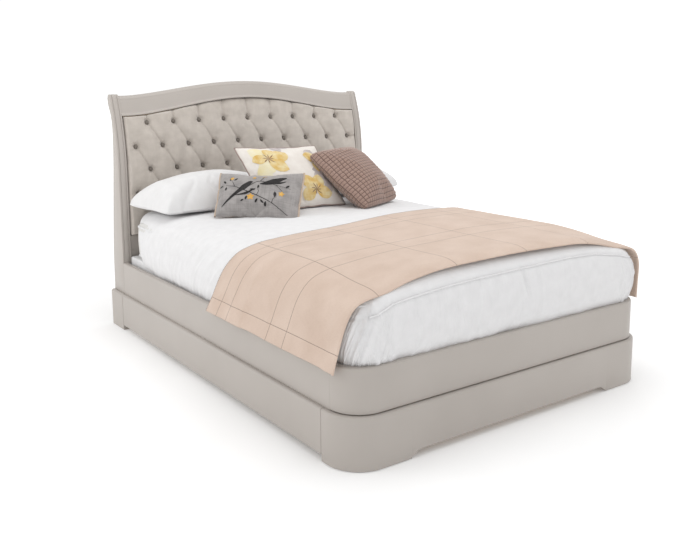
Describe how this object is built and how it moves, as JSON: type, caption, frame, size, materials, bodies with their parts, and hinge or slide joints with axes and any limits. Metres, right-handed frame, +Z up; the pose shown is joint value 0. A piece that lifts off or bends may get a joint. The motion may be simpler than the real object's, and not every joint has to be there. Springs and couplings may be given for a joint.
{
  "type": "sleigh bed",
  "caption": "King-size sleigh bed, tufted headboard with curled posts, low curved foot with a hidden drawer on castors, dressed with mattress, duvet, throw and cushions.",
  "frame": {"origin": "on the floor, at the centre of the object's bounding box seen from above", "axes": "+Y towards the headboard, +X to the right as seen from the foot, +Z up"},
  "size_m": [1.632, 2.28, 1.335],
  "materials": {
    "painted_wood": "satin grey-taupe paint over solid wood and board, faint brush and grain marks",
    "headboard_fabric": "soft warm grey velvet-look upholstery, deep buttoned",
    "button_fabric": "fabric-covered upholstery buttons",
    "pine": "planed pine, unpainted",
    "beech_slat": "laminated beech, sealed",
    "holder_plastic": "moulded black plastic",
    "bracket_steel": "pressed, zinc plated",
    "bolt_steel": "zinc plated",
    "castor_wheel": "grey rubber tread",
    "pad_cover": "white cotton cover",
    "mattress_ticking": "white woven ticking with piping",
    "duvet_cotton": "washed white cotton with soft wrinkles",
    "pillow_cotton": "white cotton pillowcase",
    "throw_wool": "dusty pink wool weave with fine dark check lines",
    "branch_fabric": "grey linen-look cotton with printed branches and birds, beige piping",
    "flower_fabric": "ivory cotton with watercolour yellow and grey blossoms",
    "knit_yarn": "brown basket-knit yarn"
  },
  "bodies": {
    "bed": {"post_left": "painted_wood", "post_right": "painted_wood", "post_block_left": "painted_wood", "post_block_right": "painted_wood", "top_rail": "painted_wood", "lower_panel": "painted_wood", "backboard": "painted_wood", "upholstery_board": "pine", "upholstery_pad": "headboard_fabric", "tufting_buttons": "button_fabric", "side_rail_left": "painted_wood", "side_rail_right": "painted_wood", "side_plinth_left": "painted_wood", "side_plinth_right": "painted_wood", "side_batten_left": "pine", "side_batten_right": "pine", "foot_rail": "painted_wood", "foot_corner_left": "painted_wood", "foot_corner_right": "painted_wood", "foot_leg_left": "pine", "foot_leg_right": "pine", "foot_cross_rail": "pine", "head_cross_rail": "pine", "slat_ledge_left": "pine", "slat_ledge_right": "pine", "centre_rail": "pine", "centre_legs": "pine", "slats_left": "beech_slat", "slats_right": "beech_slat", "slat_holders": "holder_plastic", "centre_slat_holders": "holder_plastic", "head_brackets": "bracket_steel", "head_bolts": "bolt_steel", "foot_brackets": "bracket_steel", "foot_bolts": "bolt_steel", "drawer_stops": "holder_plastic", "base_pad": "pad_cover", "mattress": "mattress_ticking", "duvet": "duvet_cotton", "pillow_left": "pillow_cotton", "pillow_right": "pillow_cotton", "throw": "throw_wool", "branch_cushion": "branch_fabric", "flower_cushion": "flower_fabric", "knit_cushion": "knit_yarn"},
    "drawer": {"drawer_front": "painted_wood", "drawer_corner_left": "painted_wood", "drawer_corner_right": "painted_wood", "drawer_side_left": "pine", "drawer_side_right": "pine", "drawer_back": "pine", "drawer_base": "pine", "drawer_corner_blocks": "pine", "castor_housings": "bracket_steel", "castor_axles": "bolt_steel"},
    "castor_front_left": {"castor_wheel_front_left": "castor_wheel"},
    "castor_front_right": {"castor_wheel_front_right": "castor_wheel"},
    "castor_back_left": {"castor_wheel_back_left": "castor_wheel"},
    "castor_back_right": {"castor_wheel_back_right": "castor_wheel"}
  },
  "joints": [
    {"name": "drawer_slide", "type": "slide", "parent": "bed", "child": "drawer", "axis": [0, -1, 0], "range_m": [0, 0.535]},
    {"name": "castor_front_left_spin", "type": "hinge", "parent": "drawer", "child": "castor_front_left", "pos_m": [-0.56, -1.028, 0.022], "axis": [1, 0, 0], "continuous": true},
    {"name": "castor_front_right_spin", "type": "hinge", "parent": "drawer", "child": "castor_front_right", "pos_m": [0.56, -1.028, 0.022], "axis": [1, 0, 0], "continuous": true},
    {"name": "castor_back_left_spin", "type": "hinge", "parent": "drawer", "child": "castor_back_left", "pos_m": [-0.56, -0.508, 0.022], "axis": [1, 0, 0], "continuous": true},
    {"name": "castor_back_right_spin", "type": "hinge", "parent": "drawer", "child": "castor_back_right", "pos_m": [0.56, -0.508, 0.022], "axis": [1, 0, 0], "continuous": true}
  ],
  "couplings": [
    {"joint": "castor_front_left_spin", "follows": "drawer_slide", "rad_per_m": 45.455},
    {"joint": "castor_front_right_spin", "follows": "drawer_slide", "rad_per_m": 45.455},
    {"joint": "castor_back_left_spin", "follows": "drawer_slide", "rad_per_m": 45.455},
    {"joint": "castor_back_right_spin", "follows": "drawer_slide", "rad_per_m": 45.455}
  ]
}
